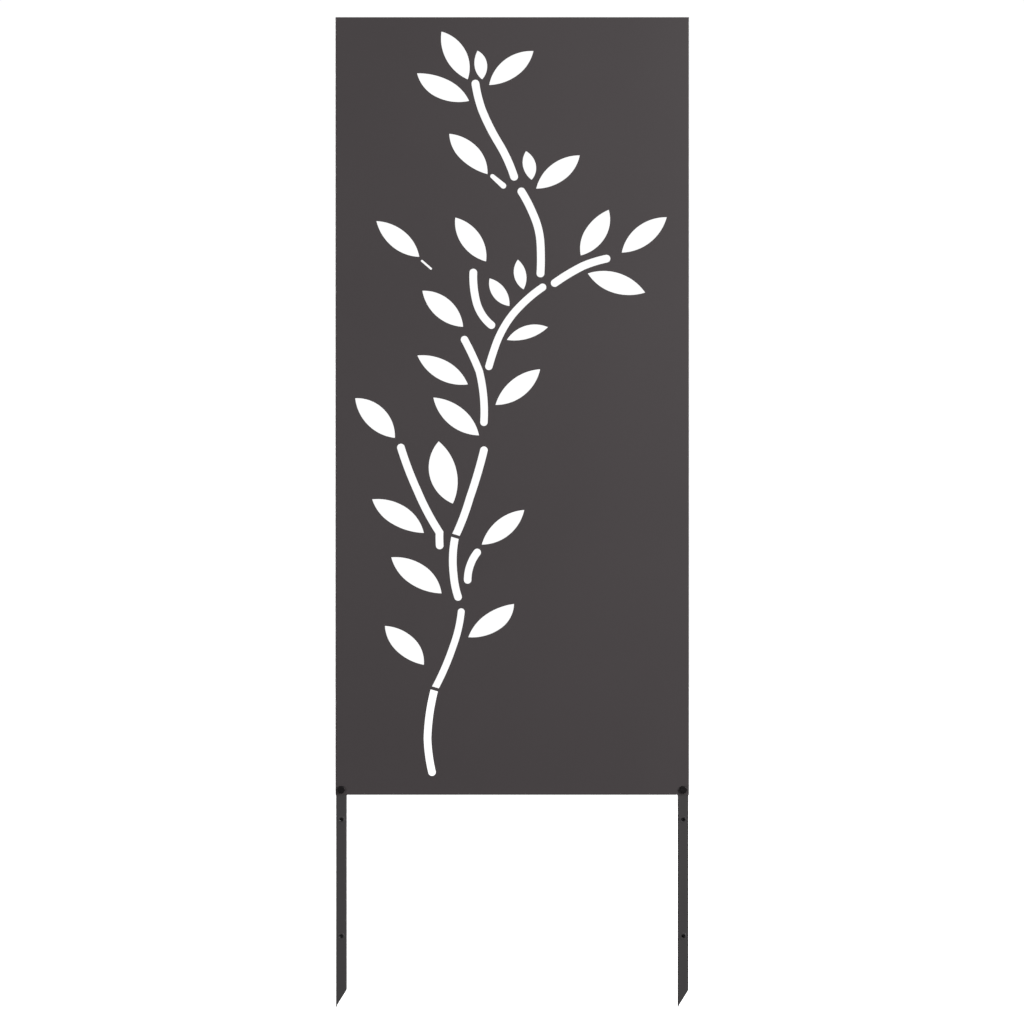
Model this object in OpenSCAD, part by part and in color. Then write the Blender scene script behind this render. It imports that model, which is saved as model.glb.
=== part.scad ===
// Garden privacy screen: one folded, laser cut steel sheet on two square ground stakes.
// Millimetres. +Z is up and the screen faces -Y. The origin lies at ground level,
// halfway between the two stakes' own axes.

/* [Panel] */
// Width of the folded panel
panel_w = 500; // [500:10:900]
// Height of the folded panel
panel_h = 1100; // [1100:10:1600]
// Thickness of the sheet
sheet_t = 0.6; // [0.5:0.1:1]
// Outer radius of every fold
fold_r = 1.2; // [1.1:0.1:2]
// How far the folded lips reach in behind the panel's side edges
lip_reach = 17.5; // [17:0.5:30]

/* [Stakes] */
// Width across the square tube
tube_w = 15; // [14:0.5:16]
// Wall of the tube
tube_wall = 1.2; // [1:0.1:1.5]
// Outer corner radius of the tube
tube_r = 1.5; // [1.3:0.1:2.5]
// Length of stake that shows below the panel
stake_below = 300; // [280:10:500]
// Length of stake that slides up into the panel's side pocket
stake_inside = 200; // [60:10:400]
// Height of the slanting cut at the stake's foot
point_h = 24; // [15:1:40]

/* [Fasteners] */
// Height of the clamping bolt above the panel's lower edge
bolt_z = 7.5; // [7:0.5:12]
// Depth of the upper spare rivet nut below the panel
spare_upper = 35; // [25:5:100]
// Depth of the lower spare rivet nut below the panel
spare_lower = 200; // [120:5:220]
// Width across the bolt head's flats
head_af = 10; // [10:0.5:11]
// Height of the bolt head
head_h = 4; // [3:0.5:6]
// Length of the bolt under its head
bolt_len = 12; // [9:1:13]

/* [Branch] */
// Size of the whole branch, 1 as drawn
branch_size = 1; // [0.6:0.05:1]
// Width of the bridges that cross the two longest slots
bridge_w = 4.6; // [3:0.1:6]

/* [Hidden] */
$fn = 96;
arc_steps = 360; // for the long arcs of the branch
past = 1; // how far a cutter runs beyond what it cuts

// Colours: satin anthracite powder coat, black bolts, bright zinc
coat = [0.28, 0.27, 0.27];
stake_coat = [0.25, 0.245, 0.245];
black = [0.10, 0.095, 0.10];
zinc = [0.62, 0.62, 0.62];

// Rivet nut: thin flange, plain body, and the bulge that grips the tube's wall from inside
flange_d = 9.8;
flange_t = 0.5;
body_d = 9;
body_len = 9.5;
bulge_d = 10.8;
bulge_len = 3;
thread_bore_d = 5;
mouth_d = 6.4;
hole_play = 0.1;

// Bolt
shank_d = thread_bore_d - 0.04;
bolt_hole_d = 6.6;
head_top_r = 0.475 * head_af; // flat top inside the 30 degree chamfer

// Inner corners of the tube, which are never quite sharp
sharpest_r = 0.2;
tube_inner_r = max(tube_r - tube_wall, sharpest_r);

// Where things stand from front to back
tube_front = -tube_w / 2;
lip_play = 0.3; // between the tube and the lips behind it
sheet_back = tube_front - flange_t;
sheet_front = sheet_back - sheet_t;
lip_front = tube_w / 2 + lip_play;
lip_back = lip_front + sheet_t;
panel_d = lip_back - sheet_front;
side_play = 0.1; // between the tube and the panel's side
stake_x = panel_w / 2 - sheet_t - side_play - tube_w / 2;
fold_gap = 0.3; // the slit, one laser cut wide, between the bottom fold and each pocket
flange_end = panel_w / 2 - lip_reach - fold_gap;

// The branch, seen from the front, in mm from the panel's middle and above its lower edge.
// Each leaf: tip, stalk end, then its left and its right edge, looking from stalk to tip.
// An edge is how far it bows out and where it is widest, both as shares of the leaf's length.
leaves = [
    [[-100, 1079.5], [-63, 1012], [0.168, 0.50], [0.218, 0.49]],
    [[-134.5, 1020.5], [-61, 981.5], [0.20, 0.55], [0.146, 0.44]],
    [[-49, 1052.5], [-42.5, 1012], [0.185, 0.46], [0.25, 0.52]],
    [[30, 1052], [-32.5, 1004], [0.188, 0.49], [0.168, 0.53]],
    [[-89, 935], [-35, 878], [0.16, 0.57], [0.20, 0.47]],
    [[19.5, 910.5], [27.5, 870], [0.20, 0.51], [0.24, 0.48]],
    [[95.5, 904.5], [34, 857.5], [0.174, 0.49], [0.177, 0.53]],
    [[-192, 811.5], [-131.5, 761], [0.167, 0.49], [0.174, 0.48]],
    [[-80.5, 816.5], [-37, 754.5], [0.185, 0.51], [0.19, 0.49]],
    [[-32, 730.5], [-4, 691.5], [0.22, 0.5], [0.185, 0.5]],
    [[8, 757], [16, 715], [0.22, 0.5], [0.18, 0.5]],
    [[136.5, 827.5], [97, 763], [0.176, 0.45], [0.211, 0.52]],
    [[218.5, 817], [155, 767], [0.181, 0.49], [0.165, 0.50]],
    [[188, 710.5], [107, 737.5], [0.165, 0.50], [0.169, 0.48]],
    [[-127, 713], [-69.5, 662], [0.175, 0.5], [0.20, 0.5]],
    [[50.5, 661.5], [-7.5, 643.5], [0.185, 0.5], [0.115, 0.5]],
    [[-134, 621.5], [-62.8, 580.6], [0.168, 0.5], [0.165, 0.48]],
    [[39.5, 602], [-23.6, 551.6], [0.157, 0.5], [0.177, 0.5]],
    [[-222, 561], [-166, 505], [0.175, 0.5], [0.22, 0.5]],
    [[-111.5, 562], [-47, 508.5], [0.174, 0.5], [0.167, 0.48]],
    [[-104, 500], [-84, 412], [0.257, 0.5], [0.17, 0.5]],
    [[-198, 418], [-125, 370.5], [0.155, 0.56], [0.188, 0.47]],
    [[17, 403], [-43, 354], [0.157, 0.5], [0.175, 0.5]],
    [[-171, 336], [-100, 285], [0.164, 0.54], [0.198, 0.46]],
    [[2.5, 270], [-62, 223], [0.14, 0.46], [0.21, 0.57]],
    [[-180, 239], [-125, 184], [0.17, 0.55], [0.21, 0.45]]
];

// Each stem: the width of its slot, then points along its middle. Every three in a row lie
// on one arc, and the last of the three starts the next arc.
stems = [
    [11, [[-52, 1006], [-48.5, 988], [-43, 969.5], [-33.2, 947.4], [-18.2, 920.3],
        [-4.4, 893.2], [2.7, 874.3]]],
    [11, [[13, 853.5], [22.3, 837.2], [30.2, 820], [36.8, 801], [40, 780], [40.6, 760],
        [40, 737.5]]],
    [10.8, [[-55, 738.8], [-54, 715], [-51.3, 700], [-43.4, 680.3], [-29.4, 664.4]]],
    [10.4, [[43, 718], [20.3, 700], [1, 680], [-12.2, 660.5], [-22, 640], [-28.8, 620],
        [-33, 606]]],
    [11, [[60.2, 724], [80, 737], [100, 748], [117, 754.2], [133.3, 758.4]]],
    [10.4, [[-67.5, 644], [-55.5, 620], [-46.5, 599], [-41, 568], [-40, 527]]],
    [10.8, [[-157.4, 491.3], [-146.6, 460], [-134, 430], [-119.6, 399.5], [-102.8, 371],
        [-102.9, 362], [-102.6, 352.8]]],
    [10.8, [[-40, 487.5], [-47.3, 460], [-60, 420], [-66.4, 400], [-80.5, 365.8]]],
    [10.8, [[-80.5, 365.8], [-83.9, 338], [-82.9, 312], [-80.6, 295], [-76.6, 280]]],
    [10.6, [[-49.5, 343], [-59, 326], [-63, 304]]],
    [9.8, [[-72.1, 259], [-75.9, 236], [-83.5, 210.5], [-95.2, 180], [-109.7, 150]]],
    [10.7, [[-109.7, 150], [-117, 113.5], [-119.8, 80], [-118.3, 60], [-113.4, 32.2]]]
];

// Each straight stem: its two ends and the slot's width at either end
twigs = [
    [[-28, 875], [-12.5, 861.5], 6, 8],
    [[-127.7, 755.3], [-114.8, 744.2], 2.8, 2.8]
];

// Each bridge: where it crosses its slot, and how steeply it falls to the right. The stems
// on either side start and end at its middle, without a round end.
bridges = [[[-80.5, 365.8], 17], [[-109.7, 150], 16]];
bridge_reach = 20; // longer than any slot is wide

// A slot's round ends stand this far proud of its sides, so that the two cross and never
// merely touch
proud = 0.03;

module panel() {
    color(coat) difference() {
        folded_sheet();
        through_front() branch();
        for (side = [-1, 1]) bolt_clearance(side);
    }
}

// The sheet folds back all round, and its two long sides fold in again as lips. The space
// between sheet, side and lip is the pocket that a stake slides up into.
module folded_sheet() {
    union() {
        front_skin();
        side_pockets();
        top_fold();
        bottom_fold();
    }
}

module front_skin() {
    inset = panel_w / 2 - fold_r;
    translate([-inset, sheet_front, fold_r])
        cube([2 * inset, sheet_t, panel_h - 2 * fold_r]);
}

// Section of the two side pockets, cut off level with the top fold
module side_pockets() {
    linear_extrude(panel_h - fold_r) intersection() {
        difference() {
            section(0);
            section(sheet_t);
            translate([-(panel_w / 2 - lip_reach), 0])
                square([panel_w - 2 * lip_reach, panel_d]);
        }
        pocket_zones();
    }
}

// Rounded outline of the panel seen from above, drawn in by an inset all round
module section(inset) {
    w = panel_w - 2 * inset;
    d = panel_d - 2 * inset;
    r = fold_r - inset;
    translate([0, (sheet_front + lip_back) / 2]) union() {
        square([w - 2 * r, d], center = true);
        square([w, d - 2 * r], center = true);
        for (x = [-1, 1], y = [-1, 1])
            translate([x * (w / 2 - r), y * (d / 2 - r)]) circle(r);
    }
}

module pocket_zones() {
    for (side = [-1, 1])
        translate([side * panel_w / 2, 0]) square([2 * lip_reach, 2 * panel_d], center = true);
}

module top_fold() {
    translate([0, 0, panel_h]) mirror([0, 0, 1]) fold_strip(panel_w);
}

module bottom_fold() {
    fold_strip(2 * flange_end);
}

// A strip of sheet that turns back from the front skin and runs to the panel's rear
module fold_strip(w) {
    rotate([90, 0, 90]) translate([0, 0, -w / 2]) linear_extrude(w) union() {
        translate([sheet_front + fold_r, 0]) square([panel_d - fold_r, sheet_t]);
        intersection() {
            translate([sheet_front + fold_r, fold_r]) difference() {
                circle(fold_r);
                circle(fold_r - sheet_t);
            }
            translate([sheet_front, 0]) square(fold_r);
        }
    }
}

// Turns a drawing seen from the front into a cutter through the front skin
module through_front() {
    translate([0, sheet_back + past, 0]) rotate([90, 0, 0])
        linear_extrude(sheet_t + 2 * past) children();
}

module branch() {
    scale(branch_size) difference() {
        union() {
            for (l = leaves) leaf(l[0], l[1], l[2], l[3]);
            for (s = stems) stem(s[1], s[0]);
            for (t = twigs) twig(t[0], t[1], t[2], t[3]);
        }
        for (b = bridges) translate(b[0]) rotate(-b[1])
            square([bridge_reach, bridge_w], center = true);
    }
}

// A leaf is what its two edges enclose
module leaf(tip, stalk, left, right) {
    run = tip - stalk;
    chord = norm(run);
    translate(stalk) rotate(atan2(run[1], run[0])) intersection() {
        edge(chord, left[0] * chord, left[1] * chord);
        mirror([0, 1]) edge(chord, right[0] * chord, right[1] * chord);
    }
}

// Everything below one edge: two arcs that meet, level, where the leaf is widest
module edge(chord, bow, widest) {
    top = tidy(bow);
    translate([widest, 0]) union() {
        half_edge(-1, widest, top);
        half_edge(1, chord - widest, top);
    }
}

// One arc's share: it starts level at the given height and reaches the chord after its run
module half_edge(way, run, top) {
    r = tidy((run * run + top * top) / (2 * top));
    intersection() {
        translate([0, top - r]) circle(r, $fn = arc_steps);
        translate([way * r, 0]) square(2 * r, center = true);
    }
}

// Round numbers, so that the two arcs meet at the same height
function tidy(x) = round(x * 100) / 100;

// A slot of even width with round ends, made of arcs
module stem(points, w) {
    for (i = [0 : 2 : len(points) - 3]) arc_slot(points[i], points[i + 1], points[i + 2], w);
    for (i = [0 : 2 : len(points) - 1])
        if (!at_bridge(points[i])) translate(points[i]) circle(w / 2 + proud);
}

function at_bridge(p) = min([for (b = bridges) norm(p - b[0])]) < bridge_w;

// A straight slot with round ends, which may taper
module twig(from, to, from_w, to_w) {
    run = to - from;
    length = norm(run);
    lean = asin((from_w - to_w) / 2 / length);
    out = [sin(lean), cos(lean)];
    flip = [out[0], -out[1]];
    translate(from) rotate(atan2(run[1], run[0])) {
        circle(from_w / 2 + proud);
        translate([length, 0]) circle(to_w / 2 + proud);
        polygon([
            out * from_w / 2, [length, 0] + out * to_w / 2,
            [length, 0] + flip * to_w / 2, flip * from_w / 2
        ]);
    }
}

// The centre of the circle through three points
function arc_centre(a, b, c) =
    let (d = 2 * (a[0] * (b[1] - c[1]) + b[0] * (c[1] - a[1]) + c[0] * (a[1] - b[1])))
    [
        (a * a * (b[1] - c[1]) + b * b * (c[1] - a[1]) + c * c * (a[1] - b[1])) / d,
        (a * a * (c[0] - b[0]) + b * b * (a[0] - c[0]) + c * c * (b[0] - a[0])) / d
    ];

// A band of width w along the arc from a through b to c
module arc_slot(a, b, c, w) {
    centre = arc_centre(a, b, c);
    r = norm(a - centre);
    far = 2 * r;
    from = (a - centre) / r;
    to = (c - centre) / r;
    translate(centre) intersection() {
        difference() {
            circle(r + w / 2, $fn = arc_steps);
            circle(r - w / 2, $fn = arc_steps);
        }
        polygon([[0, 0], far * from, far * to]);
    }
}

module bolt_clearance(side) {
    translate([side * stake_x, sheet_back + past, bolt_z]) rotate([90, 0, 0])
        cylinder(h = sheet_t + 2 * past, d = bolt_hole_d);
}

// Square tube with a slanting foot, and three holes in its front wall
module stake(side) {
    color(stake_coat) translate([side * stake_x, 0, 0]) difference() {
        translate([0, 0, -stake_below]) linear_extrude(stake_below + stake_inside)
            difference() {
                rounded_square(tube_w, tube_r);
                rounded_square(tube_w - 2 * tube_wall, tube_inner_r);
            }
        slanting_cut();
        for (z = nut_heights()) translate([0, tube_front + tube_wall + past, z])
            rotate([90, 0, 0]) cylinder(h = tube_wall + 2 * past, d = body_d + hole_play);
    }
}

function nut_heights() = [bolt_z, -spare_upper, -spare_lower];

module rounded_square(w, r) {
    square([w - 2 * r, w], center = true);
    square([w, w - 2 * r], center = true);
    for (x = [-1, 1], y = [-1, 1]) translate([x, y] * (w / 2 - r)) circle(r);
}

// Takes the foot off from the right edge down to a point at the left edge
module slanting_cut() {
    wide = tube_w / 2 + past;
    slope = point_h / tube_w;
    rotate([90, 0, 0]) translate([0, -stake_below, -tube_w]) linear_extrude(2 * tube_w)
        polygon([
            [-wide, -past * slope],
            [wide, point_h + past * slope],
            [wide, -point_h],
            [-wide, -point_h]
        ]);
}

// Hex bolt through the panel's front into the top rivet nut, seen from the front
module bolt(side) {
    color(black) translate([side * stake_x, sheet_front, bolt_z]) rotate([90, 0, 0]) {
        intersection() {
            rotate(30) cylinder(h = head_h, d = head_af / cos(30), $fn = 6);
            cylinder(h = head_h, r1 = head_top_r + head_h / tan(30), r2 = head_top_r);
        }
        translate([0, 0, -bolt_len]) cylinder(h = bolt_len, d = shank_d);
    }
}

module rivet_nut(side, z) {
    color(zinc) translate([side * stake_x, tube_front, z]) rotate([90, 0, 0])
        rotate_extrude() polygon([
            [thread_bore_d / 2, -body_len],
            [body_d / 2, -body_len],
            [body_d / 2, -tube_wall - bulge_len],
            [bulge_d / 2, -tube_wall - bulge_len / 2],
            [body_d / 2, -tube_wall],
            [body_d / 2, 0],
            [flange_d / 2, 0],
            [flange_d / 2, flange_t],
            [mouth_d / 2, flange_t],
            [thread_bore_d / 2, flange_t - (mouth_d - thread_bore_d) / 2]
        ]);
}

panel();
stake(-1);  // stake_left
stake(1);  // stake_right
bolt(-1);  // bolt_left
bolt(1);  // bolt_right
rivet_nut(-1, bolt_z);  // rivet_nut_left_top
rivet_nut(-1, -spare_upper);  // rivet_nut_left_middle
rivet_nut(-1, -spare_lower);  // rivet_nut_left_bottom
rivet_nut(1, bolt_z);  // rivet_nut_right_top
rivet_nut(1, -spare_upper);  // rivet_nut_right_middle
rivet_nut(1, -spare_lower);  // rivet_nut_right_bottom
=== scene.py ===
# %% [markdown]
# # A laser cut garden screen
# The real object is one steel sheet, cut by a laser, folded back round its edges and coated
# with dark powder. It stands on two square tubes that are pushed into the soil, and a black
# bolt at either side holds it to a rivet nut in the tube. We load the measured model first.
# Everything below is fitted to it, in the same frame: up is +Z, and the front faces -Y.

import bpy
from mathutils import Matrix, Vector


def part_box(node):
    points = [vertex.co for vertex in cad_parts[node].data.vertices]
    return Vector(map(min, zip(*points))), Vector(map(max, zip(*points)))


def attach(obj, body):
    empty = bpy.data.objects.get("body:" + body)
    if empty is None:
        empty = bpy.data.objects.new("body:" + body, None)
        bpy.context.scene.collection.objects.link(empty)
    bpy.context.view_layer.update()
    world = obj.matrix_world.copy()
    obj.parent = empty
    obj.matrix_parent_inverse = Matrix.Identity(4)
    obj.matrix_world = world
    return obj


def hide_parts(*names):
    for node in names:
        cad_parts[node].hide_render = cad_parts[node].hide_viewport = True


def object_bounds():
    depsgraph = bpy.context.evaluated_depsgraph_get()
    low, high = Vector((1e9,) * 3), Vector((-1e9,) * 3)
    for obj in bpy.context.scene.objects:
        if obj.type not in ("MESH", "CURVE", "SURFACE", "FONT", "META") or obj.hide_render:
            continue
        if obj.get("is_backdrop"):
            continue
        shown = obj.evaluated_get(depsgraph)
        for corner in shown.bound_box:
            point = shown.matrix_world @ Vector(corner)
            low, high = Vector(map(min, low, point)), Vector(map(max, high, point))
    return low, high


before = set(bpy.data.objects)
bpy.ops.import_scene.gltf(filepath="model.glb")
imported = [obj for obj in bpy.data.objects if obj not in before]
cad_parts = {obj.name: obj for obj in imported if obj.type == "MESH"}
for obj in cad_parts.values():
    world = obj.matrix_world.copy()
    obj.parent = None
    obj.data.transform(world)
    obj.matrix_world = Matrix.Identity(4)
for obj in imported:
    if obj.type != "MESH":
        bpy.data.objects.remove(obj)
cad_low, cad_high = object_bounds()
print("measured model from", cad_low[:], "to", cad_high[:])

# %% Tools that every step uses
import math

import bmesh
import bpy
from bmesh.types import BMEdge, BMFace, BMVert
from mathutils import Matrix, Vector

mm = 0.001
quarter_turn = math.pi / 2
across, up = Vector((1, 0, 0)), Vector((0, 1, 0))

# %% [markdown]
# A maker thinks in millimetres and Blender in metres. So each piece is built in millimetres,
# and it shrinks a thousandfold as it becomes an object. Flat work is drawn lying down, with
# x to the right, y up the screen and z towards the viewer. One quarter turn stands it up.

# %% From a workbench drawing to an object
def stand_up(bm, depth_of_face):
    """Turns a drawing upright: its z = 0 comes to stand at this y, facing the front."""
    stood = Matrix.Translation((0, depth_of_face, 0)) @ Matrix.Rotation(quarter_turn, 4, "X")
    bmesh.ops.transform(bm, matrix=stood, verts=bm.verts[:])


def only(kind, geom):
    """The verts, the edges or the faces among what an operator returned."""
    return [g for g in geom if isinstance(g, kind)]


def make_piece(name, bm):
    """Makes an object in metres from a bmesh in millimetres, at the origin."""
    bmesh.ops.scale(bm, vec=(mm, mm, mm), verts=bm.verts[:])
    mesh = bpy.data.meshes.new(name)
    bm.to_mesh(mesh)
    bm.free()
    piece = bpy.data.objects.new(name, mesh)
    bpy.context.scene.collection.objects.link(piece)
    return piece


def add_modifier(piece, kind, **settings):
    modifier = piece.modifiers.new(kind.lower(), kind)
    for setting, value in settings.items():
        setattr(modifier, setting, value)


def keep_result(piece):
    """Keeps the shape that the modifiers made as a plain mesh."""
    depsgraph = bpy.context.evaluated_depsgraph_get()
    result = bpy.data.meshes.new_from_object(piece.evaluated_get(depsgraph))
    piece.modifiers.clear()
    piece.data = result


def round_rims(piece, width, from_angle):
    """Rounds every edge that is sharper than the given angle, as a coat of powder does."""
    add_modifier(
        piece, "BEVEL", width=width * mm, segments=2, limit_method="ANGLE",
        angle_limit=math.radians(from_angle), use_clamp_overlap=False,
    )


def shade(piece, sharp_from):
    """Smooth shading that stops at sharp edges, and leaves flat faces flat."""
    piece.data.shade_smooth()
    piece.data.set_sharp_from_angle(angle=math.radians(sharp_from))
    add_modifier(piece, "WEIGHTED_NORMAL", keep_sharp=True)


# %% [markdown]
# ## The cut-outs
# On the real object a laser's head follows each outline and the waste drops out. A boolean
# with solid cutters would give the same holes, but also a tangle of long thin faces along
# them. Here a vertex is spun round one centre after another, so the outline is made of true
# arcs, like the cutting file. A narrow guard ring round each hole then keeps the mesh even,
# and its rims can be rounded cleanly.

# %% The path of the laser's head
longest_step = 1.6  # along an arc, in mm
widest_step = math.radians(7.5)  # round its centre


class CuttingPath:
    """A closed outline on the flat sheet, made of arcs and lines."""

    def __init__(self, bm, start):
        self.bm = bm
        self.first = self.here = bm.verts.new((*start, 0))

    def arc(self, centre, turn):
        """Goes on round a centre, anticlockwise if the turn is positive."""
        centre = Vector((*centre, 0))
        radius = (self.here.co - centre).length
        steps = math.ceil(abs(turn) * max(radius / longest_step, 1 / widest_step))
        spun = bmesh.ops.spin(
            self.bm, geom=[self.here], cent=centre, axis=(0, 0, 1), dvec=(0, 0, 0),
            angle=turn, steps=steps,
            use_merge=False, use_normal_flip=False, use_duplicate=False,
        )
        self.here = spun["geom_last"][0]

    def line(self, end):
        """Goes on straight to a point."""
        grown = bmesh.ops.extrude_vert_indiv(self.bm, verts=[self.here])
        self.here = grown["verts"][0]
        self.here.co = (*end, 0)

    def close(self):
        """Joins the end to the start and fills the outline with one face."""
        bmesh.ops.weld_verts(self.bm, targetmap={self.here: self.first})
        outline = [e for e in self.bm.edges if not e.link_faces]
        return bmesh.ops.edgeloop_fill(self.bm, edges=outline)["faces"][0]


# %% [markdown]
# A leaf has two edges between its stalk and its tip. Each edge is two arcs that meet, level,
# where the leaf is widest. So a leaf is fully told by its tip, its stalk and, for either
# edge, how far it bows out and where, both as shares of the leaf's length.

# %% Cutting a leaf
def cut_leaf(bm, tip, stalk, left, right):
    tip, stalk = Vector(tip), Vector(stalk)
    length = (tip - stalk).length
    along = (tip - stalk) / length
    to_left = Vector((-along.y, along.x))
    path = CuttingPath(bm, stalk)

    def curve(run, bow, widest, side):
        """One of the leaf's four arcs, over a run along the leaf, on one side of it."""
        radius = (run * run + bow * bow) / (2 * bow)
        centre = stalk + along * widest + to_left * side * (bow - radius)
        path.arc(centre, -math.atan2(run, radius - bow))

    for side, (bow_share, widest_share) in ((1, left), (-1, right)):
        bow, widest = bow_share * length, widest_share * length
        runs = (widest, length - widest)
        for run in runs[::side]:
            curve(run, bow, widest, side)
    return path.close()


leaves = [
    ((-100, 1079.5), (-63, 1012), (0.168, 0.50), (0.218, 0.49)),
    ((-134.5, 1020.5), (-61, 981.5), (0.20, 0.55), (0.146, 0.44)),
    ((-49, 1052.5), (-42.5, 1012), (0.185, 0.46), (0.25, 0.52)),
    ((30, 1052), (-32.5, 1004), (0.188, 0.49), (0.168, 0.53)),
    ((-89, 935), (-35, 878), (0.16, 0.57), (0.20, 0.47)),
    ((19.5, 910.5), (27.5, 870), (0.20, 0.51), (0.24, 0.48)),
    ((95.5, 904.5), (34, 857.5), (0.174, 0.49), (0.177, 0.53)),
    ((-192, 811.5), (-131.5, 761), (0.167, 0.49), (0.174, 0.48)),
    ((-80.5, 816.5), (-37, 754.5), (0.185, 0.51), (0.19, 0.49)),
    ((-32, 730.5), (-4, 691.5), (0.22, 0.5), (0.185, 0.5)),
    ((8, 757), (16, 715), (0.22, 0.5), (0.18, 0.5)),
    ((136.5, 827.5), (97, 763), (0.176, 0.45), (0.211, 0.52)),
    ((218.5, 817), (155, 767), (0.181, 0.49), (0.165, 0.50)),
    ((188, 710.5), (107, 737.5), (0.165, 0.50), (0.169, 0.48)),
    ((-127, 713), (-69.5, 662), (0.175, 0.5), (0.20, 0.5)),
    ((50.5, 661.5), (-7.5, 643.5), (0.185, 0.5), (0.115, 0.5)),
    ((-134, 621.5), (-62.8, 580.6), (0.168, 0.5), (0.165, 0.48)),
    ((39.5, 602), (-23.6, 551.6), (0.157, 0.5), (0.177, 0.5)),
    ((-222, 561), (-166, 505), (0.175, 0.5), (0.22, 0.5)),
    ((-111.5, 562), (-47, 508.5), (0.174, 0.5), (0.167, 0.48)),
    ((-104, 500), (-84, 412), (0.257, 0.5), (0.17, 0.5)),
    ((-198, 418), (-125, 370.5), (0.155, 0.56), (0.188, 0.47)),
    ((17, 403), (-43, 354), (0.157, 0.5), (0.175, 0.5)),
    ((-171, 336), (-100, 285), (0.164, 0.54), (0.198, 0.46)),
    ((2.5, 270), (-62, 223), (0.14, 0.46), (0.21, 0.57)),
    ((-180, 239), (-125, 184), (0.17, 0.55), (0.21, 0.45)),
]
print(len(leaves), "leaves")

# %% [markdown]
# A stem is a slot of even width along a chain of arcs, and every three points lie on one
# arc. The laser goes up one side of the slot, round its end and back down the other side.
# Where two arcs meet at a slight angle, the corner is mitred. Two stems are so long that a
# thin bridge of steel crosses each, or the tongues of sheet beside them would bend.

# %% Geometry of one arc
def arc_through(a, b, c):
    """The centre of the circle through three points, and +1 if it runs anticlockwise."""
    twice_area = 2 * ((b - a).cross(c - a))
    sides = [p.length_squared for p in (a, b, c)]
    centre = Vector((
        sides[0] * (b.y - c.y) + sides[1] * (c.y - a.y) + sides[2] * (a.y - b.y),
        sides[0] * (c.x - b.x) + sides[1] * (a.x - c.x) + sides[2] * (b.x - a.x),
    )) / twice_area
    return centre, math.copysign(1, twice_area)


def turn_between(centre, start, end, way):
    """The angle from one point to another round a centre, going the given way."""
    angle = (end - centre).angle_signed(start - centre)
    return angle % (2 * math.pi) if way > 0 else angle % (2 * math.pi) - 2 * math.pi


# %% Bridges across the two longest stems
bridge_width = 4.6
bridges = [(Vector((-80.5, 365.8)), 17), (Vector((-109.7, 150)), 16)]


def bridge_at(point):
    """The middle and the fall, in degrees, of the bridge at this point, if there is one."""
    for middle, fall in bridges:
        if (middle - point).length < bridge_width:
            return middle, fall
    return None


def leave_bridge(bm, opening, bridge, above):
    """Gives the steel of a bridge back to an opening that starts at its middle."""
    middle, fall = bridge
    upwards = Vector((math.sin(math.radians(fall)), math.cos(math.radians(fall)), 0))
    side = 1 if above else -1
    shape = [opening, *opening.edges, *opening.verts]
    cut = bmesh.ops.bisect_plane(
        bm, geom=shape, dist=0.001, plane_no=upwards * side, clear_inner=True,
        plane_co=middle.to_3d() + upwards * side * bridge_width / 2,
    )
    return only(BMFace, cut["geom"])[0]


# %% Cutting a stem
def cut_stem(bm, width, points):
    points = [Vector(p) for p in points]
    arcs = [
        (*arc_through(*points[i:i + 3]), points[i], points[i + 2])
        for i in range(0, len(points) - 2, 2)
    ]
    ends = points[::2]

    def left_of(arc, point):
        """Which way is left of the stem, for someone who walks it past this point."""
        centre, way = arc[:2]
        return (centre - point).normalized() * way

    mitres = [left_of(arcs[0], ends[0])]
    for before, after in zip(arcs, arcs[1:]):
        one, other = left_of(before, before[3]), left_of(after, after[2])
        mitres.append((one + other) / (1 + one.dot(other)))
    mitres.append(left_of(arcs[-1], ends[-1]))
    left = [p + m * width / 2 for p, m in zip(ends, mitres)]
    right = [p - m * width / 2 for p, m in zip(ends, mitres)]

    path = CuttingPath(bm, left[0])
    for (centre, way, *_), end in zip(arcs, left[1:]):
        path.arc(centre, turn_between(centre, path.here.co.to_2d(), end, way))
    finish_end(path, ends[-1], right[-1])
    for (centre, way, *_), end in zip(arcs[::-1], right[-2::-1]):
        path.arc(centre, turn_between(centre, path.here.co.to_2d(), end, -way))
    finish_end(path, ends[0], left[0])
    opening = path.close()
    for end, above in ((ends[-1], True), (ends[0], False)):
        if bridge_at(end):
            opening = leave_bridge(bm, opening, bridge_at(end), above)
    return opening


def finish_end(path, end, other_side):
    """A round end, or a straight one where a bridge follows."""
    if bridge_at(end):
        path.line(other_side)
    else:
        path.arc(end, -math.pi)


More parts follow.
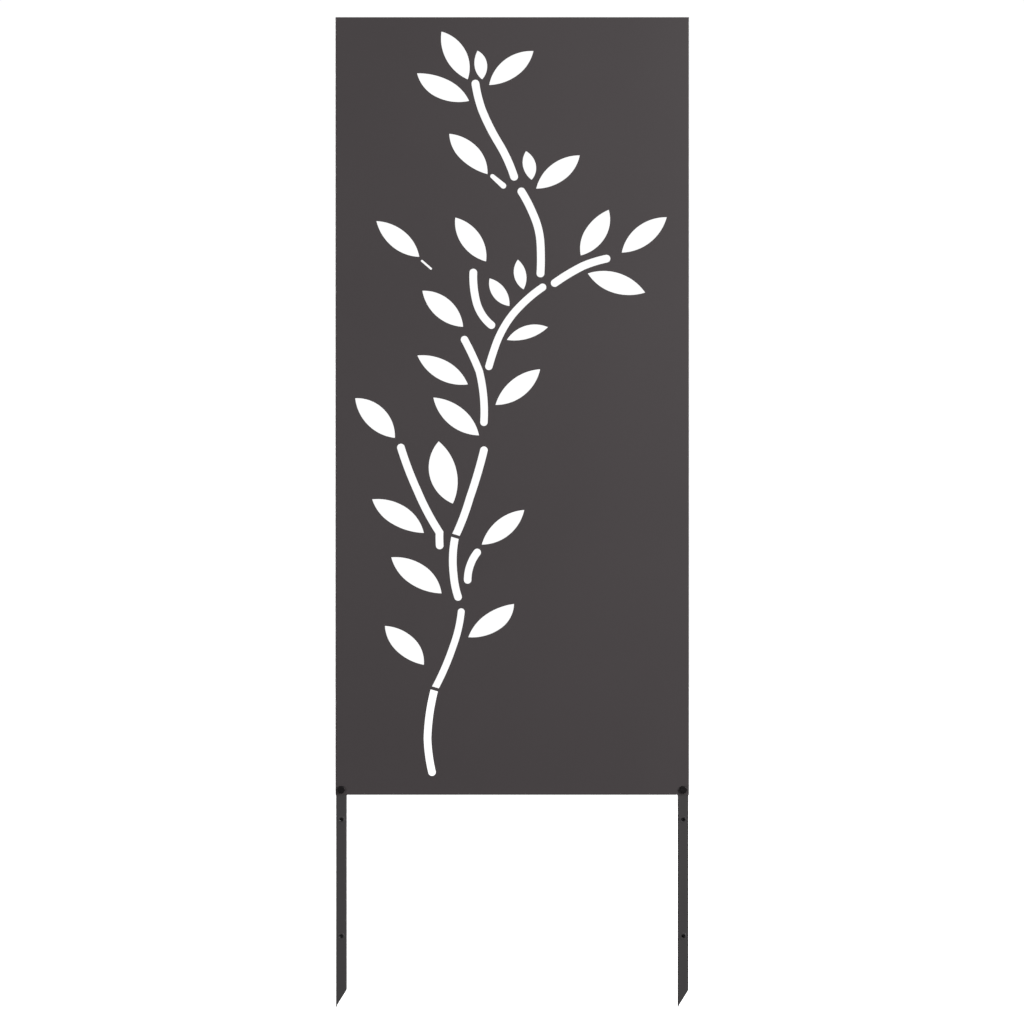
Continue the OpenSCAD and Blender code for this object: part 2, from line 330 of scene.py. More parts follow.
stems = [
    (11, ((-52, 1006), (-48.5, 988), (-43, 969.5), (-33.2, 947.4), (-18.2, 920.3),
        (-4.4, 893.2), (2.7, 874.3))),
    (11, ((13, 853.5), (22.3, 837.2), (30.2, 820), (36.8, 801), (40, 780), (40.6, 760),
        (40, 737.5))),
    (10.8, ((-55, 738.8), (-54, 715), (-51.3, 700), (-43.4, 680.3), (-29.4, 664.4))),
    (10.4, ((43, 718), (20.3, 700), (1, 680), (-12.2, 660.5), (-22, 640), (-28.8, 620),
        (-33, 606))),
    (11, ((60.2, 724), (80, 737), (100, 748), (117, 754.2), (133.3, 758.4))),
    (10.4, ((-67.5, 644), (-55.5, 620), (-46.5, 599), (-41, 568), (-40, 527))),
    (10.8, ((-157.4, 491.3), (-146.6, 460), (-134, 430), (-119.6, 399.5), (-102.8, 371),
        (-102.9, 362), (-102.6, 352.8))),
    (10.8, ((-40, 487.5), (-47.3, 460), (-60, 420), (-66.4, 400), (-80.5, 365.8))),
    (10.8, ((-80.5, 365.8), (-83.9, 338), (-82.9, 312), (-80.6, 295), (-76.6, 280))),
    (10.6, ((-49.5, 343), (-59, 326), (-63, 304))),
    (9.8, ((-72.1, 259), (-75.9, 236), (-83.5, 210.5), (-95.2, 180), (-109.7, 150))),
    (10.7, ((-109.7, 150), (-117, 113.5), (-119.8, 80), (-118.3, 60), (-113.4, 32.2))),
]
print(len(stems), "curved stems")

# %% [markdown]
# Two short twigs are straight, and one of them tapers. A tapered slot is two circles of
# different size with the straight lines that touch both, so the round at the wide end takes
# a little more than half a turn and the round at the thin end a little less.

# %% Cutting a twig
def cut_twig(bm, start, end, start_width, end_width):
    start, end = Vector(start), Vector(end)
    length = (end - start).length
    along = (end - start) / length
    to_left = Vector((-along.y, along.x))
    lean = math.asin((start_width - end_width) / 2 / length)
    left = along * math.sin(lean) + to_left * math.cos(lean)
    right = along * math.sin(lean) - to_left * math.cos(lean)
    path = CuttingPath(bm, start + left * start_width / 2)
    path.line(end + left * end_width / 2)
    path.arc(end, -(math.pi - 2 * lean))
    path.line(start + right * start_width / 2)
    path.arc(start, -(math.pi + 2 * lean))
    return path.close()


twigs = [
    ((-28, 875), (-12.5, 861.5), 6, 8),
    ((-127.7, 755.3), (-114.8, 744.2), 2.8, 2.8),
]

# %% Cutting a bolt's clearance hole
bolt_low, bolt_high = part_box("bolt_right")
bolt_x = (bolt_low.x + bolt_high.x) / 2 / mm
bolt_z = (bolt_low.z + bolt_high.z) / 2 / mm
clearance_radius = 3.3


def cut_bolt_hole(bm, side):
    path = CuttingPath(bm, (side * bolt_x + clearance_radius, bolt_z))
    path.arc((side * bolt_x, bolt_z), -2 * math.pi)
    return path.close()


print("bolts at x =", round(bolt_x, 2), "mm and z =", round(bolt_z, 2), "mm")

# %% All openings, each with its guard ring
guard = 0.6
sheet = bmesh.new()
openings = [cut_leaf(sheet, *leaf) for leaf in leaves]
openings += [cut_stem(sheet, *stem) for stem in stems]
openings += [cut_twig(sheet, *twig) for twig in twigs]
openings += [cut_bolt_hole(sheet, side) for side in (-1, 1)]
print(len(openings), "openings, all together", round(sum(o.calc_area() for o in openings)), "mm2")
bmesh.ops.inset_region(
    sheet, faces=openings, thickness=-guard, depth=0, use_boundary=True, use_even_offset=True
)
ring_edges = [e for opening in openings for e in opening.edges]
bmesh.ops.delete(sheet, geom=openings, context="FACES_ONLY")

# %% [markdown]
# ## The folded sheet
# The cut blank goes to a press brake, which folds its edges back one after another. The
# fold makes the thin sheet stiff, hides its cut edge and forms a pocket along either side
# for the stakes. In the mesh a fold is a spin: an edge of the flat sheet turns a quarter
# round the bend's own axis, and what follows the bend is extruded straight on.

# %% Sizes of the sheet, from the measured model
panel_low, panel_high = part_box("panel")
half_width = panel_high.x / mm
height = panel_high.z / mm
depth = (panel_high.y - panel_low.y) / mm
sheet_thickness = 0.6
bend = 1.2  # outer radius of a bend
lip_reach = 17.5  # the lip behind the side covers this much, seen from behind
relief_slit = 0.3  # one cut of the laser parts the bottom fold from each side pocket
bottom_fold_end = half_width - lip_reach - relief_slit
flat_x, flat_top = half_width - bend, height - bend
pocket_x = half_width - lip_reach
print("panel", 2 * half_width, "by", round(height, 1), "by", round(depth, 1), "mm")

# %% The flat front between the bends
border = 2  # an even strip along the blank's edge
blank = CuttingPath(sheet, (-flat_x, 0))
for corner in (
    (-pocket_x, 0), (-pocket_x, bend), (-bottom_fold_end, bend), (bottom_fold_end, bend),
    (pocket_x, bend), (pocket_x, 0), (flat_x, 0), (flat_x, flat_top), (-flat_x, flat_top),
    (-flat_x, 0),
):
    blank.line(corner)
bmesh.ops.weld_verts(sheet, targetmap={blank.here: blank.first})
blank_edges = [e for e in sheet.edges if not e.link_faces and e not in ring_edges]
blank_face = bmesh.ops.edgeloop_fill(sheet, edges=blank_edges)["faces"][0]
bmesh.ops.inset_region(
    sheet, faces=[blank_face], thickness=border, depth=0, use_boundary=True, use_even_offset=True
)
border_edges = blank_face.edges[:]
bmesh.ops.delete(sheet, geom=[blank_face], context="FACES_ONLY")
bmesh.ops.triangle_fill(
    sheet, use_beauty=True, use_dissolve=False, normal=(0, 0, 1),
    edges=ring_edges + border_edges,
)
print("flat front with", len(sheet.faces), "faces, area",
    round(sum(f.calc_area() for f in sheet.faces)), "mm2")

# %% Folding on the press brake
bend_steps = 12


def edges_between(bm, low, high):
    """The edges whose two ends both lie in a box."""
    near = 0.01

    def in_box(v):
        return all(low[i] - near <= v.co[i] <= high[i] + near for i in range(3))

    return [e for e in bm.edges if all(in_box(v) for v in e.verts)]


def fold_back(bm, edges, axis, turn, centre):
    """Bends the sheet along these edges and returns the edges where the bend ends."""
    ends = list({v for e in edges for v in e.verts})
    bent = bmesh.ops.spin(
        bm, geom=edges + ends, cent=centre, axis=axis, dvec=(0, 0, 0), angle=turn,
        steps=bend_steps, use_merge=False, use_normal_flip=False, use_duplicate=False,
    )
    return only(BMEdge, bent["geom_last"])


def run_on(bm, edges, vec):
    """Lets the sheet run straight on from these edges and returns its new edges."""
    grown = bmesh.ops.extrude_edge_only(bm, edges=edges)["geom"]
    ends = only(BMVert, grown)
    bmesh.ops.translate(bm, vec=vec, verts=ends)
    ends = set(ends)
    return [e for e in only(BMEdge, grown) if ends.issuperset(e.verts)]


top = edges_between(sheet, (-flat_x, flat_top, 0), (flat_x, flat_top, 0))
top = fold_back(sheet, top, across, -quarter_turn, (0, flat_top, -bend))
run_on(sheet, top, (0, 0, bend - depth))
for side in (-1, 1):  # the top fold is as wide as the whole panel
    end = side * flat_x
    ends = edges_between(sheet, (end, flat_top, -depth), (end, height, 0))
    run_on(sheet, ends, (side * bend, 0, 0))
bottom = edges_between(sheet, (-bottom_fold_end, bend, 0), (bottom_fold_end, bend, 0))
bottom = fold_back(sheet, bottom, across, quarter_turn, (0, bend, -bend))
run_on(sheet, bottom, (0, 0, bend - depth))
for side in (-1, 1):
    edge = edges_between(sheet, (side * flat_x, 0, 0), (side * flat_x, flat_top, 0))
    edge = fold_back(sheet, edge, up, side * quarter_turn, (side * flat_x, 0, -bend))
    edge = run_on(sheet, edge, (0, 0, 2 * bend - depth))
    edge = fold_back(sheet, edge, up, side * quarter_turn, (side * flat_x, 0, bend - depth))
    run_on(sheet, edge, (side * (pocket_x - flat_x), 0, 0))

# %% Thickness, rims and shading
bmesh.ops.recalc_face_normals(sheet, faces=sheet.faces[:])
if max(sheet.faces, key=lambda f: f.calc_area()).normal.z < 0:
    bmesh.ops.reverse_faces(sheet, faces=sheet.faces[:])
stand_up(sheet, panel_low.y / mm)
panel = make_piece("panel_folded_sheet", sheet)
add_modifier(
    panel, "SOLIDIFY", thickness=sheet_thickness * mm, offset=-1, use_even_offset=True,
)
sheet_rim = 0.12
round_rims(panel, sheet_rim, from_angle=60)
keep_result(panel)
shade(panel, sharp_from=35)
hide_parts("panel")
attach(panel, "root")
print("panel with", len(panel.data.polygons), "faces")

# %% [markdown]
# ## The stakes
# Each stake is a length of square steel tube. The mill rolls the tube from strip, so its
# corners are round. The maker saws its foot at a slant, drills three holes in its front
# wall and squeezes a rivet nut into each. We extrude a square, round its four long edges,
# slice the foot with one plane, and give the skin its wall.

# %% Sawing and drilling a tube
tube_width, tube_wall, tube_corner, tube_rim = 15, 1.2, 1.5, 0.15
foot_height = 24
nut_hole_radius = 4.55


def square_tube(centre_x, low, high):
    bm = bmesh.new()
    bmesh.ops.create_circle(bm, cap_ends=False, radius=tube_width / math.sqrt(2), segments=4)
    bmesh.ops.rotate(bm, verts=bm.verts[:], matrix=Matrix.Rotation(math.pi / 4, 3, "Z"))
    bmesh.ops.translate(bm, verts=bm.verts[:], vec=(centre_x, 0, low))
    grown = bmesh.ops.extrude_edge_only(bm, edges=bm.edges[:])["geom"]
    bmesh.ops.translate(bm, verts=only(BMVert, grown), vec=(0, 0, high - low))
    corners = [e for e in bm.edges if len(e.link_faces) == 2]
    bmesh.ops.bevel(
        bm, geom=corners, offset=tube_corner, offset_type="OFFSET", affect="EDGES",
        segments=10, profile=0.5, material=-1,
    )
    slant = Vector((-foot_height, 0, tube_width))
    bmesh.ops.bisect_plane(
        bm, geom=bm.verts[:] + bm.edges[:] + bm.faces[:], dist=0.001, clear_inner=True,
        plane_co=(centre_x - tube_width / 2, 0, low), plane_no=slant,
    )
    bmesh.ops.recalc_face_normals(bm, faces=bm.faces[:])
    axis = Vector((centre_x, 0, 0))
    if sum((f.calc_center_median() - axis).xy.dot(f.normal.xy) for f in bm.faces) < 0:
        bmesh.ops.reverse_faces(bm, faces=bm.faces[:])
    return bm


def drill(piece, x, heights):
    """Drills the nuts' holes through the tube's front wall."""
    bm = bmesh.new()
    for z in heights:
        place = Matrix.Translation((x, -tube_width / 2 + tube_wall / 2, z))
        bmesh.ops.create_cone(
            bm, cap_ends=True, segments=64, radius1=nut_hole_radius, radius2=nut_hole_radius,
            depth=3 * tube_wall, matrix=place @ Matrix.Rotation(quarter_turn, 4, "X"),
        )
    bits = make_piece("drill_bits", bm)
    add_modifier(piece, "BOOLEAN", operation="DIFFERENCE", solver="EXACT", object=bits)
    keep_result(piece)
    bpy.data.objects.remove(bits)


# %% Both stakes
def nut_height(node):
    low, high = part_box(node)
    return (low.z + high.z) / 2 / mm


nut_heights = [nut_height(f"rivet_nut_left_{place}") for place in ("top", "middle", "bottom")]
stakes = []
for side, sign in (("left", -1), ("right", 1)):
    low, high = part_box(f"stake_{side}")
    stake = make_piece(f"stake_{side}_tube", square_tube(sign * bolt_x, low.z / mm, high.z / mm))
    add_modifier(stake, "SOLIDIFY", thickness=tube_wall * mm, offset=-1, use_even_offset=True)
    keep_result(stake)
    drill(stake, sign * bolt_x, nut_heights)
    round_rims(stake, tube_rim, from_angle=50)
    keep_result(stake)
    shade(stake, sharp_from=35)
    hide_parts(f"stake_{side}")
    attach(stake, "root")
    stakes.append(stake)
print("stakes", round((high.z - low.z) / mm), "mm long, nuts at", [round(z, 1) for z in nut_heights])

# %% [markdown]
# ## Threads
# A screw thread is a groove of one even section that winds round the axis and climbs by one
# pitch a turn. Stacked rings would look the same from afar, but a spin can climb as it
# turns, and then the thread is a real helix. One pitch of the section is spun for as many
# turns as needed, neighbouring turns are merged, and two planes trim the ragged ends.

# %% Winding a thread
pitch = 1.0
steps_in_a_turn = 32


def threaded_skin(bm, root, crest, low, high):
    """Winds a thread round the z axis and returns the loops of edges at its two ends.

    Root and crest are the radii of its groove and of its ridge, seen from the material.
    """
    turns = math.ceil((high - low) / pitch) + 2
    start = math.floor(low) - pitch
    section = [  # each a radius, and a share of the pitch
        (root, 0), (root, 0.125), (crest, 0.4375), (crest, 0.5625), (root, 0.875), (root, 1)
    ]
    points = [bm.verts.new((radius, 0, start + climb * pitch)) for radius, climb in section]
    line = [bm.edges.new(pair) for pair in zip(points, points[1:])]
    bmesh.ops.spin(
        bm, geom=points + line, cent=(0, 0, 0), axis=(0, 0, 1),
        dvec=(0, 0, pitch / steps_in_a_turn),
        angle=2 * math.pi * turns, steps=steps_in_a_turn * turns,
        use_merge=False, use_normal_flip=False, use_duplicate=False,
    )
    bmesh.ops.remove_doubles(bm, verts=bm.verts[:], dist=0.002)
    loops = []
    for level, away in ((low, -1), (high, 1)):
        cut = bmesh.ops.bisect_plane(
            bm, geom=bm.verts[:] + bm.edges[:] + bm.faces[:], dist=0.001, clear_outer=True,
            plane_co=(0, 0, level), plane_no=(0, 0, away),
        )
        loops.append(only(BMEdge, cut["geom_cut"]))
    return loops


def turned(bm, profile, steps=64):
    """Turns a skin on a lathe from a profile of (radius, height) points."""
    points = [bm.verts.new((radius, 0, z)) for radius, z in profile]
    line = [bm.edges.new(pair) for pair in zip(points, points[1:])]
    bmesh.ops.spin(
        bm, geom=points + line, cent=(0, 0, 0), axis=(0, 0, 1), dvec=(0, 0, 0),
        angle=2 * math.pi, steps=steps, use_merge=True, use_normal_flip=False, use_duplicate=False,
    )


def add_to(bm, other):
    """Adds another bmesh's shape to this one."""
    carrier = bpy.data.meshes.new("carrier")
    other.to_mesh(carrier)
    other.free()
    bm.from_mesh(carrier)
    bpy.data.meshes.remove(carrier)


def open_loop(bm, z):
    """The open edges of a skin at one level."""
    return [e for e in bm.edges if e.is_boundary and all(abs(v.co.z - z) < 0.01 for v in e.verts)]


def join_skin(bm, skin, *levels):
    """Adds a turned skin and joins it to a thread's open loops at the same levels."""
    thread_loops = [open_loop(bm, z) for z in levels]
    of_thread = set(bm.edges)
    add_to(bm, skin)
    for z, thread_loop in zip(levels, thread_loops):
        skin_loop = [e for e in open_loop(bm, z) if e not in of_thread]
        bmesh.ops.bridge_loops(bm, edges=thread_loop + skin_loop)


# %% [markdown]
# ## The bolts
# A hex bolt is cold formed, and its head gets a 30 degree chamfer, which leaves a curved
# edge on each of its six flats. Cutting six corners by hand would never give those curves.
# Where a hexagonal bar and a turned blank overlap, they appear by themselves, so the head
# is that overlap. Under it sits a thin round washer face, then the threaded shank.

# %% Forging a bolt
head_across_flats, head_height = 10, 4
chamfer_angle = math.radians(30)
chamfer_start = 0.475 * head_across_flats  # radius of the head's flat top
washer_height, washer_radius = 0.4, 4.8
shank_length, neck_length, neck_radius = 12, 1.4, 2.6
shank_groove, shank_ridge = 2.42, 2.93  # radii of the thread
tip_length, tip_taper = 0.5, 0.82
bolt_rim = 0.12


def hex_head():
    """The head of a bolt: a hexagonal bar inside a turned, chamfered blank."""
    bar = bmesh.new()
    half_side = math.radians(30)  # a flat spans twice this angle round the axis
    corner = head_across_flats / 2 / math.cos(half_side)
    bmesh.ops.create_circle(
        bar, cap_ends=True, radius=corner, segments=6,
        matrix=Matrix.Translation((0, 0, washer_height)) @ Matrix.Rotation(half_side, 4, "Z"),
    )
    grown = bmesh.ops.extrude_face_region(bar, geom=bar.faces[:])["geom"]
    bmesh.ops.translate(
        bar, verts=only(BMVert, grown), vec=(0, 0, head_height - washer_height)
    )
    bmesh.ops.recalc_face_normals(bar, faces=bar.faces[:])
    blank = bmesh.new()
    wide, below = 8, -1  # the blank reaches well past the bar's corners and its lower end
    fall = (wide - chamfer_start) * math.tan(chamfer_angle)
    turned(blank, [
        (0, below), (wide, below), (wide, head_height - fall), (chamfer_start, head_height),
        (0, head_height),
    ], steps=96)
    bmesh.ops.remove_doubles(blank, verts=blank.verts[:], dist=0.001)
    bmesh.ops.recalc_face_normals(blank, faces=blank.faces[:])
    head, blank = make_piece("head", bar), make_piece("blank", blank)
    add_modifier(head, "BOOLEAN", operation="INTERSECT", solver="EXACT", object=blank)
    keep_result(head)
    bpy.data.objects.remove(blank)
    bm = bmesh.new()
    bm.from_mesh(head.data)
    bmesh.ops.scale(bm, vec=(1 / mm,) * 3, verts=bm.verts[:])
    bpy.data.objects.remove(head)
    return bm


def forged_bolt(x, z):
    bm = bmesh.new()
    bottom, _ = threaded_skin(
        bm, shank_groove, shank_ridge, -shank_length + tip_length, -neck_length
    )
    tip = bmesh.ops.extrude_edge_only(bm, edges=bottom)["geom"]
    tip_edges = [e for e in only(BMEdge, tip) if e.is_boundary]
    bmesh.ops.scale(bm, vec=(tip_taper, tip_taper, 1), verts=only(BMVert, tip))
    bmesh.ops.translate(bm, vec=(0, 0, -tip_length), verts=only(BMVert, tip))
    bmesh.ops.holes_fill(bm, edges=tip_edges, sides=0)
    neck_and_washer = bmesh.new()
    turned(neck_and_washer, [
        (neck_radius, -neck_length), (neck_radius, -0.3), (neck_radius + 0.3, 0),
        (washer_radius - 0.15, 0), (washer_radius, 0.12), (washer_radius, washer_height + 0.2),
        (0, washer_height + 0.2),
    ])
    join_skin(bm, neck_and_washer, -neck_length)
    bmesh.ops.remove_doubles(bm, verts=bm.verts[:], dist=0.001)
    add_to(bm, hex_head())
    bmesh.ops.recalc_face_normals(bm, faces=bm.faces[:])
    stand_up(bm, 0)
    bmesh.ops.translate(bm, verts=bm.verts[:], vec=(x, panel_low.y / mm, z))
    return bm


bolts = []
for side, sign in (("left", -1), ("right", 1)):
    bolt = make_piece(f"bolt_{side}_hex", forged_bolt(sign * bolt_x, bolt_z))
    round_rims(bolt, bolt_rim, from_angle=28)
    keep_result(bolt)
    shade(bolt, sharp_from=40)
    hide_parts(f"bolt_{side}")
    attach(bolt, "root")
    bolts.append(bolt)
print("each bolt has", len(bolts[0].data.polygons), "faces")

# %% [markdown]
# ## The rivet nuts
# A rivet nut goes into its hole as a plain threaded sleeve. A tool pulls on its thread until
# the soft part behind the wall bulges out and clamps the wall against the flange. So a set
# nut shows a thin flange with a countersunk mouth, and hides a bulge and a threaded body.

# %% Setting a rivet nut
flange_radius, flange_thickness = 4.9, 0.5
body_radius, body_length = 4.5, 9.5
bulge_radius, bulge_length = 5.4, 3
mouth_radius, rim_radius = 3.2, 0.3
bore_groove, bore_ridge = 3.05, 2.52  # radii of the thread
thread_top, thread_bottom = -0.2, -9.1  # levels, from the tube's face


def set_rivet_nut(x, z):
    bm = bmesh.new()
    threaded_skin(bm, bore_groove, bore_ridge, thread_bottom, thread_top)
    rim = [
        (flange_radius - rim_radius * (1 - math.sin(turn)),
            flange_thickness - rim_radius * (1 - math.cos(turn)))
        for turn in (step * quarter_turn / 5 for step in range(6))
    ]
    bulge_end = -tube_wall - bulge_length
    outside = bmesh.new()
    turned(outside, [
        (2.58, thread_top), (mouth_radius, flange_thickness - 0.04),
        (mouth_radius + 0.05, flange_thickness), *rim, (flange_radius, 0), (body_radius, 0),
        (body_radius, -tube_wall), (bulge_radius - 0.3, -tube_wall - 0.5),
        (bulge_radius, -tube_wall - bulge_length / 2), (bulge_radius - 0.3, bulge_end + 0.5),
        (body_radius, bulge_end), (body_radius, -body_length + 0.3),
        (body_radius - 0.3, -body_length), (3.4, -body_length), (3.1, thread_bottom),
    ])
    join_skin(bm, outside, thread_top, thread_bottom)
    bmesh.ops.remove_doubles(bm, verts=bm.verts[:], dist=0.001)
    bmesh.ops.recalc_face_normals(bm, faces=bm.faces[:])
    stand_up(bm, 0)
    bmesh.ops.translate(bm, verts=bm.verts[:], vec=(x, -tube_width / 2, z))
    return bm


rivet_nuts = []
for side, sign in (("left", -1), ("right", 1)):
    for place, z in zip(("top", "middle", "bottom"), nut_heights):
        nut = make_piece(f"rivet_nut_{side}_{place}_m6", set_rivet_nut(sign * bolt_x, z))
        shade(nut, sharp_from=40)
        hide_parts(f"rivet_nut_{side}_{place}")
        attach(nut, "root")
        rivet_nuts.append(nut)
print(len(rivet_nuts), "rivet nuts of", len(rivet_nuts[0].data.polygons), "faces")

# %% [markdown]
# ## Finishes
# A material is a small network of nodes. Writing it node by node is long, so two helpers
# make it read like ordinary sums. Value wraps one socket, and a sum of values adds the Math
# nodes for it. Finish.node adds any other node. All patterns read Object coordinates, which
# are metres here, so a scale of 1000 makes grains of about a millimetre.

# %% Helpers for finishes
class Value:
    """One socket of a finish, with the arithmetic that the finishes use."""

    def __init__(self, finish, socket):
        self.finish, self.socket = finish, socket

    def sum(self, operation, first, second):
        return self.finish.node("ShaderNodeMath", {"operation": operation}, {0: first, 1: second})

    def __add__(self, other):
        return self.sum("ADD", self, other)

    __radd__ = __add__

    def __mul__(self, other):
        return self.sum("MULTIPLY", self, other)


class Finish:
    """A material in the making."""

    def __init__(self, name):
        self.material = bpy.data.materials.new(name)
        self.material.use_nodes = True
        self.tree = self.material.node_tree
        self.shader = self.tree.nodes["Principled BSDF"]
        self.place = self.node("ShaderNodeTexCoord", output="Object")

    def node(self, kind, settings=None, inputs=None, output=0):
        """Adds a node, sets it up, feeds its sockets and returns one of its outputs."""
        made = self.tree.nodes.new(kind)
        for setting, value in (settings or {}).items():
            setattr(made, setting, value)
        self.feed(made, inputs or {})
        return Value(self, made.outputs[output])

    def feed(self, node, inputs):
        for name, value in inputs.items():
            if isinstance(value, Value):
                self.tree.links.new(value.socket, node.inputs[name])
            else:
                node.inputs[name].default_value = value

    def noise(self, size, detail=2.0, roughness=0.5):
        """A soft random pattern with grains of about this size, in mm."""
        return self.node("ShaderNodeTexNoise", inputs={
            "Vector": self.place, "Scale": 1 / (size * mm), "Detail": detail,
            "Roughness": roughness,
        })

    def blend(self, share, one, other):
        """Goes from one colour to another."""
        return self.node("ShaderNodeMix", {"data_type": "RGBA"}, {0: share, 6: one, 7: other}, 2)

    def wear(self, piece):
        piece.data.materials.clear()
        piece.data.materials.append(self.material)


# %% [markdown]
# Powder coating is sprayed on as dry powder and baked until it flows together. It never
# flows quite flat: close up it has the soft dimples of an orange's skin, under a millimetre
# across, and a fine grain. Both are far too small to model, so they are bump. A slow, faint
# drift in tone and gloss keeps the large flat front from looking printed.

# %% Powder coat
def powder_coat(name, dark, light, gloss):
    """An anthracite powder coat between two near tones."""
    coat = Finish(name)
    peel = coat.noise(0.9, detail=1.0)
    grain = coat.noise(0.25, detail=2.0)
    drift = coat.noise(260, detail=3.0)
    mottle = coat.noise(2.2, detail=2.0)
    tone = drift * 0.7 + mottle * 0.3
    relief = peel * 0.75 + grain * 0.25
    bump = coat.node("ShaderNodeBump", inputs={
        "Height": relief, "Strength": 0.35, "Distance": 0.00006,
    })
    coat.feed(coat.shader, {
        "Base Color": coat.blend(tone, dark, light),
        "Roughness": gloss + drift * 0.06 + grain * 0.04,
        "Normal": bump,
        "IOR": 1.45,
    })
    return coat


panel_coat = powder_coat(
    "satin_coat_of_panel", (0.0365, 0.0298, 0.0315, 1), (0.0435, 0.0356, 0.0375, 1), 0.42
)
stake_coat = powder_coat(
    "satin_coat_of_stakes", (0.0320, 0.0292, 0.0300, 1), (0.0375, 0.0342, 0.0352, 1), 0.44
)
panel_coat.wear(panel)
print("powder coat on the panel")

# %% [markdown]
# Square tube is rolled from strip that is already zinc coated, and the powder only reaches
# its outside. So the inside of a stake stays pale and dull, which shows at its open foot,
# and a little of that paleness comes out through the threaded holes too.

# %% Galvanised inside of the stakes
def galvanised(name, dark, light):
    """Dull zinc with the broad, angular spangle of hot dipped strip."""
    zinc = Finish(name)
    spangle = zinc.node("ShaderNodeTexVoronoi", inputs={
        "Vector": zinc.place, "Scale": 1 / (4 * mm), "Randomness": 1.0,
    }, output="Color")
    bloom = zinc.noise(1.5, detail=3.0)
    shade_of_spangle = zinc.node("ShaderNodeSeparateColor", inputs={0: spangle})
    zinc.feed(zinc.shader, {
        "Base Color": zinc.blend(shade_of_spangle * 0.6 + bloom * 0.4, dark, light),
        "Metallic": 0.6,
        "Roughness": 0.45 + bloom * 0.2,
    })
    return zinc


inside_zinc = galvanised("galvanised_inside", (0.42, 0.43, 0.44, 1), (0.62, 0.63, 0.65, 1))
inner_half = (tube_width / 2 - tube_wall + 0.02) * mm
for stake, sign in zip(stakes, (-1, 1)):
    stake_coat.wear(stake)
    stake.data.materials.append(inside_zinc.material)
    for face in stake.data.polygons:
        if max(abs(face.center.x - sign * bolt_x * mm), abs(face.center.y)) < inner_half:
            face.material_index = 1
print("powder outside and zinc inside on", len(stakes), "stakes")

# %% [markdown]
# The bolts are plated and blackened. The black layer is thin and grows on bare metal, so it
# shines like metal, only very dark, and it rubs a little paler on the corners that a
# spanner touches. Fine marks from the die run round the shank.

# %% Black plated steel
def blackened_steel(name):
    black = Finish(name)
    smudge = black.noise(1.6, detail=3.0)
    grain = black.noise(0.12, detail=2.0)
    bump = black.node("ShaderNodeBump", inputs={
        "Height": grain * 0.5 + smudge * 0.5, "Strength": 0.25, "Distance": 0.00004,
    })
    black.feed(black.shader, {
        "Base Color": black.blend(smudge, (0.016, 0.0145, 0.0152, 1), (0.036, 0.033, 0.0345, 1)),
        "Metallic": 1.0,
        "Roughness": 0.30 + smudge * 0.18,
        "Normal": bump,
    })
    return black


black_steel = blackened_steel("black_plating")
for bolt in bolts:
    black_steel.wear(bolt)

# %% [markdown]
# The rivet nuts are zinc plated, but they are set before the stake is coated. So the powder
# covers the flange, the mouth and the first turns of the thread, as far as the plug that
# keeps the rest of the thread clean. Deeper in, and inside the tube, the zinc stays bare.
# On the flange's round rim the powder is thin and rubs through, and the paler metal there, all round
# the rim, is also a painted highlight.

# %% Zinc under powder
def plated_zinc(name, dark, light, gloss):
    zinc = Finish(name)
    spangle = zinc.noise(1.1, detail=4.0, roughness=0.6)
    haze = zinc.noise(6, detail=2.0)
    bump = zinc.node("ShaderNodeBump", inputs={
        "Height": spangle, "Strength": 0.2, "Distance": 0.00003,
    })
    zinc.feed(zinc.shader, {
        "Base Color": zinc.blend(haze * 0.5 + spangle * 0.5, dark, light),
        "Metallic": 1.0,
        "Roughness": gloss + spangle * 0.15,
        "Normal": bump,
    })
    return zinc


zinc_steel = plated_zinc("bright_zinc", (0.52, 0.53, 0.55, 1), (0.70, 0.71, 0.72, 1), 0.28)
# Paler metal for the flange's rim: partly rubbed-through powder, partly a painted highlight along
# the rim.
worn_rim_and_painted_highlight = plated_zinc("worn_rim_and_painted_highlight", (0.04, 0.038, 0.04, 1), (0.22, 0.22, 0.225, 1), 0.45)
coated_depth = 5.2  # how deep the powder reaches into the bore, in mm
for nut in rivet_nuts:
    zinc_steel.wear(nut)
    nut.data.materials.append(stake_coat.material)
    nut.data.materials.append(worn_rim_and_painted_highlight.material)
    low, high = [Vector(corner) for corner in (nut.bound_box[0], nut.bound_box[6])]
    axis = (low + high) / 2
    for face in nut.data.polygons:
        out = math.hypot(face.center.x - axis.x, face.center.z - axis.z) / mm
        deep = (face.center.y - low.y) / mm
        # The whole round rim of each flange gets the paler metal, as worn powder and as a painted
        # highlight.
        if deep < flange_thickness and out > flange_radius - rim_radius:
            face.material_index = 2
        elif deep < flange_thickness or (out < mouth_radius and deep < coated_depth):
            face.material_index = 1
print("coated flanges on", len(rivet_nuts), "nuts")

# %% [markdown]
# ## Studio
# The photograph is taken straight on from far away, against pure white. One soft box above
# the right shoulder makes the front brighter towards its upper right. The rest of the room
# is dim, so the bends at the edges turn dark, as they do in the photograph. A real white
# room would light those edges too. So the room and the floor are white to the camera only:
# the room through a switch on camera rays, the floor by staying out of all other rays.

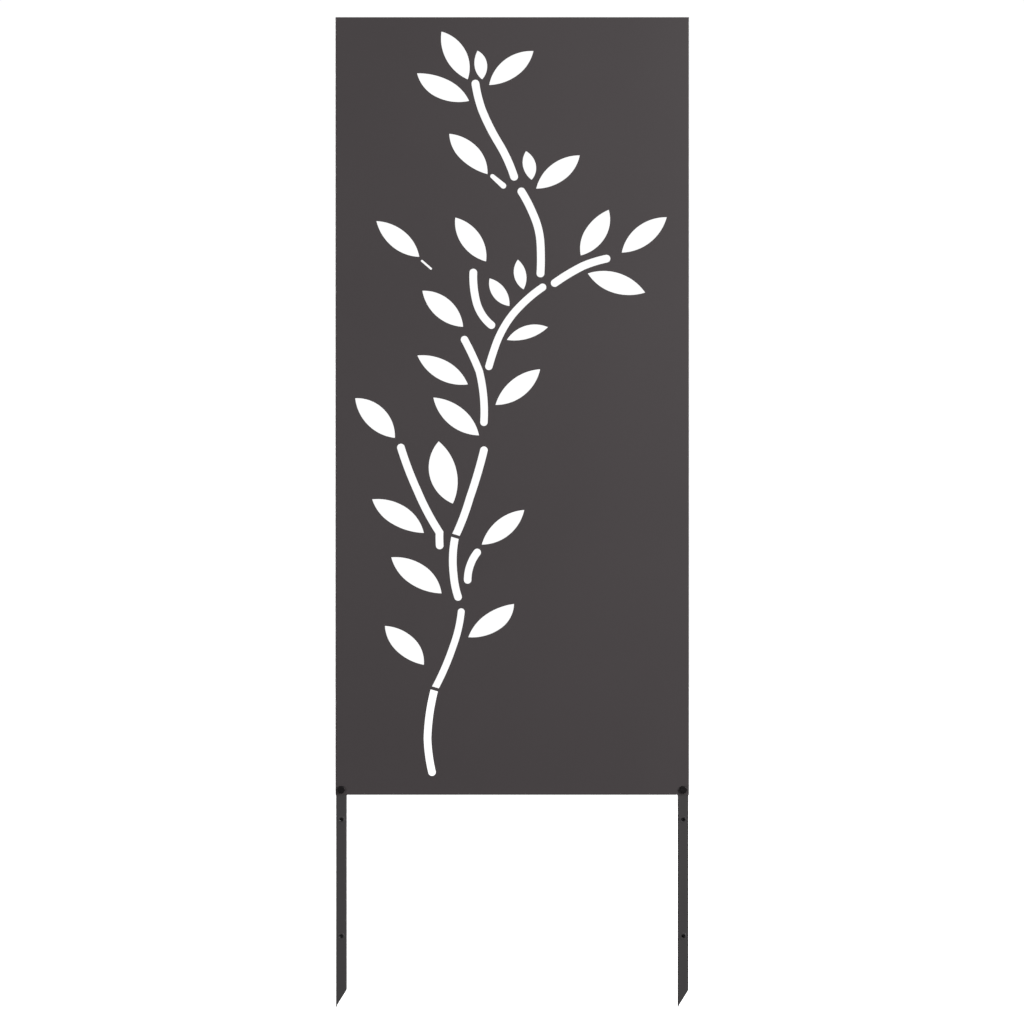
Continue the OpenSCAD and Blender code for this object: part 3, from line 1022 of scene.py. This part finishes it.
# %% The room
white = (1, 1, 1, 1)
strength_to_camera, strength_to_others = 1.02, 0.2
room = bpy.data.worlds.new("studio")
bpy.context.scene.world = room
room.use_nodes = True
tree = room.node_tree
seen_white = tree.nodes["Background"]
dim = tree.nodes.new("ShaderNodeBackground")
for background, strength in ((seen_white, strength_to_camera), (dim, strength_to_others)):
    background.inputs["Color"].default_value = white
    background.inputs["Strength"].default_value = strength
ray = tree.nodes.new("ShaderNodeLightPath")
either = tree.nodes.new("ShaderNodeMixShader")
tree.links.new(ray.outputs["Is Camera Ray"], either.inputs[0])
tree.links.new(dim.outputs[0], either.inputs[1])
tree.links.new(seen_white.outputs[0], either.inputs[2])
tree.links.new(either.outputs[0], tree.nodes["World Output"].inputs["Surface"])
bpy.context.scene.view_settings.view_transform = "Standard"

# %% The floor
floor_reach = 12000  # mm to each side
bm = bmesh.new()
bmesh.ops.create_grid(
    bm, x_segments=8, y_segments=8, size=floor_reach,
    matrix=Matrix.Translation((0, 0, cad_low.z / mm)),
)
floor = make_piece("floor", bm)
pale = Finish("pale_floor")
pale.feed(pale.shader, {
    "Base Color": pale.blend(pale.noise(400), (0.78, 0.78, 0.78, 1), (0.82, 0.82, 0.82, 1)),
    "Roughness": 0.9, "Emission Color": white, "Emission Strength": 1.0,
})
pale.wear(floor)
floor.visible_diffuse = floor.visible_glossy = floor.visible_shadow = False
floor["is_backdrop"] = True


# %% Soft boxes
def soft_box(name, place, aim, size, power):
    """A square area light at a place, in metres, that faces a point."""
    light = bpy.data.lights.new(name, "AREA")
    light.shape, light.size, light.energy = "SQUARE", size, power
    lamp = bpy.data.objects.new(name, light)
    bpy.context.scene.collection.objects.link(lamp)
    lamp.location = place
    lamp.rotation_euler = (Vector(aim) - Vector(place)).to_track_quat("-Z", "Y").to_euler()
    lamp.visible_camera = False


middle_of_panel = (0, 0, 0.6)
soft_box("key", (2.8, -3.5, 1.6), middle_of_panel, 1.6, 205)
soft_box("fill", (-2.6, -3.6, 0.2), middle_of_panel, 1.6, 40)
soft_box("back_left", (-3.2, 3.6, 0.9), middle_of_panel, 2.0, 190)
soft_box("back_right", (2.4, 4.2, 0.9), middle_of_panel, 2.0, 110)

# %% [markdown]
# ## Camera
# The panel's sides run parallel in the photograph, and the stakes show no inner wall, so the
# camera looked at the front squarely and from far away. Its distance and lens follow from
# how wide a strip of the scene the picture holds at the panel's front.

# %% The camera
picture_width = 1.4482  # metres of the panel's plane across the picture
picture_middle_x, picture_middle_z = -0.0003, 0.4001
camera_distance = 6.64
panel_front = cad_low.y + head_height * mm
camera = bpy.data.cameras.new("camera")
camera.sensor_width = 36
camera.lens = camera.sensor_width * camera_distance / picture_width
camera.clip_start, camera.clip_end = 0.05, 200
viewer = bpy.data.objects.new("camera", camera)
bpy.context.scene.collection.objects.link(viewer)
viewer.location = (picture_middle_x, panel_front - camera_distance, picture_middle_z)
viewer.rotation_euler = (quarter_turn, 0, 0)
bpy.context.scene.camera = viewer
print("lens", round(camera.lens, 1), "mm")

# %% Size, and the end
low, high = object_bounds()
print("measured model", [round(x, 5) for x in (*cad_low, *cad_high)])
print("this model    ", [round(x, 5) for x in (*low, *high)])
